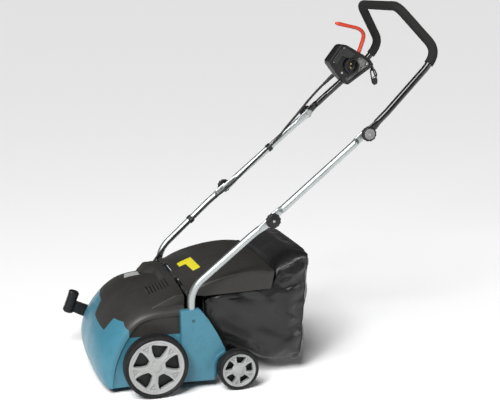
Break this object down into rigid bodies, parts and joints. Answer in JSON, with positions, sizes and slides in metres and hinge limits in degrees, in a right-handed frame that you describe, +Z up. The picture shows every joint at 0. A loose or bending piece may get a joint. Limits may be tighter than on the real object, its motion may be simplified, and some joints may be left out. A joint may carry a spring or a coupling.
{
  "type": "lawn dethatcher",
  "caption": "Corded walk-behind lawn dethatcher: domed housing on big front and small rear wheels, folding tube handle with switch box and hooked lever, rear flap and soft collection bag.",
  "frame": {"origin": "on the ground under the middle of the whole machine's box", "axes": "+X towards the operator, +Y to the machine's right, +Z up"},
  "size_m": [0.974, 0.536, 1.0014],
  "materials": {
    "blue_housing": "satin moulded teal-blue plastic with fine grain",
    "charcoal_hood": "fine-textured charcoal moulded plastic",
    "black_plastic": "black moulded plastic, lightly textured",
    "silver_tube": "satin silver tube",
    "black_tube": "gloss black painted tube",
    "handle_foam": "matte closed-cell foam sleeve",
    "grey_rim": "silver-grey moulded wheel",
    "tyre_rubber": "black tyre with a fine tread",
    "bag_cloth": "black coated woven bag fabric, creased",
    "steel": "zinc-plated steel",
    "motor_case": "grey motor can",
    "belt_rubber": "ribbed drive belt",
    "cable_rubber": "black rubber-sheathed cable",
    "red_plastic": "red-orange moulded plastic",
    "brass_pins": "plain brass pins"
  },
  "bodies": {
    "chassis": {"chassis_housing": "blue_housing", "left_side_panel": "blue_housing", "right_side_panel": "blue_housing", "motor_hood": "charcoal_hood", "motor_body": "motor_case", "drive_belt": "belt_rubber", "left_rotor_bearing": "steel", "right_rotor_bearing": "steel", "rear_axle": "steel", "flap_hinge_rod": "steel", "flap_spring": "steel", "left_lower_tube": "silver_tube", "right_lower_tube": "silver_tube", "left_lower_clamp_bolt": "steel", "right_lower_clamp_bolt": "steel", "cable_lower": "cable_rubber", "lower_cable_clip": "black_plastic"},
    "middle_handle": {"left_middle_tube": "silver_tube", "right_middle_tube": "silver_tube", "left_upper_clamp_bolt": "steel", "right_upper_clamp_bolt": "steel", "cable_middle": "cable_rubber", "upper_cable_clip": "black_plastic"},
    "upper_handle": {"upper_handle_tube": "black_tube", "foam_grip": "handle_foam", "switch_box_inner": "black_plastic", "switch_box_outer": "black_plastic", "inlet_well": "charcoal_hood", "inlet_pins": "brass_pins", "lever_pivot_pin": "steel", "microswitch": "charcoal_hood", "cord_hook": "black_plastic", "cable_upper": "cable_rubber", "strain_relief": "black_plastic"},
    "switch_lever": {"switch_lever": "red_plastic"},
    "lock_off_button": {"lock_off_button": "red_plastic"},
    "depth_adjuster": {"depth_axle": "steel", "depth_lever_arm": "black_plastic", "depth_lever_grip": "black_plastic"},
    "left_front_wheel": {"left_front_tyre": "tyre_rubber", "left_front_rim": "grey_rim"},
    "right_front_wheel": {"right_front_tyre": "tyre_rubber", "right_front_rim": "grey_rim"},
    "left_rear_wheel": {"left_rear_tyre": "tyre_rubber", "left_rear_rim": "grey_rim"},
    "right_rear_wheel": {"right_rear_tyre": "tyre_rubber", "right_rear_rim": "grey_rim"},
    "left_lower_knob": {"left_lower_clamp_knob": "black_plastic"},
    "right_lower_knob": {"right_lower_clamp_knob": "black_plastic"},
    "left_upper_knob": {"left_upper_clamp_knob": "black_plastic"},
    "right_upper_knob": {"right_upper_clamp_knob": "black_plastic"},
    "flap": {"rear_flap": "charcoal_hood"},
    "bag": {"collection_bag": "bag_cloth", "bag_frame": "steel"},
    "rotor": {"rotor_shaft": "steel", "tine_reel": "steel", "driven_pulley": "steel"},
    "motor_drive": {"motor_pulley": "steel"}
  },
  "joints": [
    {"name": "handle_lower_fold", "type": "hinge", "parent": "chassis", "child": "middle_handle", "pos_m": [0.01195, 0, 0.448], "axis": [0, -1, 0], "range_deg": [0, 140]},
    {"name": "handle_upper_fold", "type": "hinge", "parent": "middle_handle", "child": "upper_handle", "pos_m": [0.27195, 0, 0.664], "axis": [0, 1, 0], "range_deg": [0, 140]},
    {"name": "switch_lever_pull", "type": "hinge", "parent": "upper_handle", "child": "switch_lever", "pos_m": [0.41795, 0.212, 0.831], "axis": [0, 1, 0], "range_deg": [0, 12], "stiffness_Nm_per_rad": 0.6, "springref_deg": -17.19},
    {"name": "lock_off_press", "type": "slide", "parent": "upper_handle", "child": "lock_off_button", "axis": [0, -1, 0], "range_m": [0, 0.004], "stiffness_N_per_m": 300, "springref_m": -0.004},
    {"name": "depth_lever_turn", "type": "hinge", "parent": "chassis", "child": "depth_adjuster", "pos_m": [-0.28405, 0, 0.088], "axis": [0, -1, 0], "range_deg": [-25, 20]},
    {"name": "left_front_wheel_spin", "type": "hinge", "parent": "depth_adjuster", "child": "left_front_wheel", "pos_m": [-0.30205, -0.249, 0.084], "axis": [0, 1, 0], "continuous": true},
    {"name": "right_front_wheel_spin", "type": "hinge", "parent": "depth_adjuster", "child": "right_front_wheel", "pos_m": [-0.30205, 0.249, 0.084], "axis": [0, 1, 0], "continuous": true},
    {"name": "left_rear_wheel_spin", "type": "hinge", "parent": "chassis", "child": "left_rear_wheel", "pos_m": [-0.08305, -0.249, 0.054], "axis": [0, 1, 0], "continuous": true},
    {"name": "right_rear_wheel_spin", "type": "hinge", "parent": "chassis", "child": "right_rear_wheel", "pos_m": [-0.08305, 0.249, 0.054], "axis": [0, 1, 0], "continuous": true},
    {"name": "left_lower_knob_turn", "type": "hinge", "parent": "chassis", "child": "left_lower_knob", "pos_m": [0.01195, -0.252, 0.448], "axis": [0, 1, 0], "continuous": true},
    {"name": "right_lower_knob_turn", "type": "hinge", "parent": "chassis", "child": "right_lower_knob", "pos_m": [0.01195, 0.252, 0.448], "axis": [0, 1, 0], "continuous": true},
    {"name": "left_upper_knob_turn", "type": "hinge", "parent": "middle_handle", "child": "left_upper_knob", "pos_m": [0.27195, -0.252, 0.664], "axis": [0, 1, 0], "continuous": true},
    {"name": "right_upper_knob_turn", "type": "hinge", "parent": "middle_handle", "child": "right_upper_knob", "pos_m": [0.27195, 0.252, 0.664], "axis": [0, 1, 0], "continuous": true},
    {"name": "flap_lift", "type": "hinge", "parent": "chassis", "child": "flap", "pos_m": [-0.20105, 0, 0.25], "axis": [0, -1, 0], "range_deg": [0, 75], "stiffness_Nm_per_rad": 0.8, "springref_deg": -28.65},
    {"name": "bag_slide_off", "type": "slide", "parent": "chassis", "child": "bag", "axis": [0.9962, 0, 0.0872], "range_m": [0, 0.1]},
    {"name": "rotor_spin", "type": "hinge", "parent": "chassis", "child": "rotor", "pos_m": [-0.20705, 0, 0.072], "axis": [0, 1, 0], "continuous": true},
    {"name": "motor_spin", "type": "hinge", "parent": "chassis", "child": "motor_drive", "pos_m": [-0.27005, 0, 0.188], "axis": [0, 1, 0], "continuous": true}
  ],
  "couplings": [
    {"joint": "motor_spin", "follows": "rotor_spin", "ratio": 2.1429}
  ]
}
